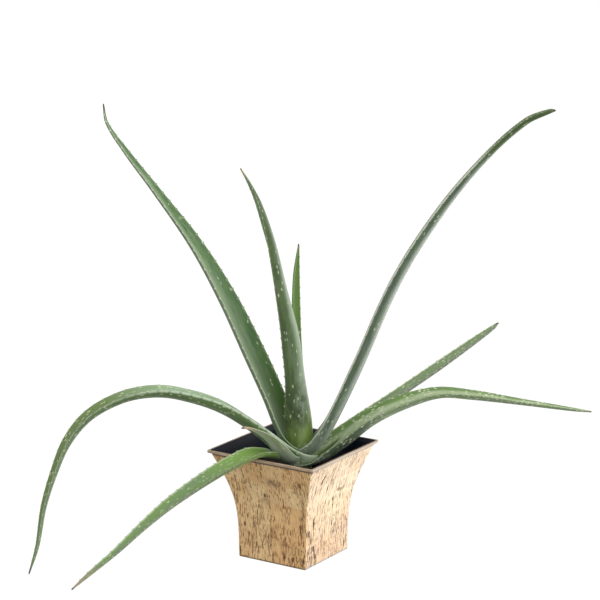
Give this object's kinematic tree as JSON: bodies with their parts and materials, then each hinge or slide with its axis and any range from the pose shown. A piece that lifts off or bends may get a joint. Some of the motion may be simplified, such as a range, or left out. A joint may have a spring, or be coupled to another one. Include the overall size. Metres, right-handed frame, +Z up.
{
  "type": "potted aloe plant",
  "caption": "Square flared pot with cork-like cladding and a plain lip, filled with soil, holding an aloe with long toothed leaves that rise, arch and droop over the lip.",
  "frame": {"origin": "middle of the pot's underside, on the surface that the pot stands on", "axes": "+Z up along the pot's axis, X and Y square to the pot's flat sides; the pot is symmetric about Z and the plant leans with its longest leaves towards +Y and -Y"},
  "size_m": [0.4777, 0.5701, 0.4827],
  "materials": {
    "cork_cladding": "matte",
    "rim": "satin",
    "liner": "satin",
    "soil": "matte",
    "stem": "satin",
    "leaf": "satin",
    "young_leaf": "satin"
  },
  "bodies": {
    "root": {"pot_body": "cork_cladding", "pot_rim": "rim", "pot_liner": "liner", "soil": "soil", "stem": "stem", "leaf_young_centre": "young_leaf", "leaf_upright_front": "leaf", "leaf_upright_right": "leaf", "leaf_upright_left": "leaf", "leaf_back_right": "leaf", "leaf_arching_left": "leaf", "leaf_low_right": "leaf", "leaf_short_withered": "leaf", "leaf_drooping_left": "leaf"}
  },
  "joints": []
}
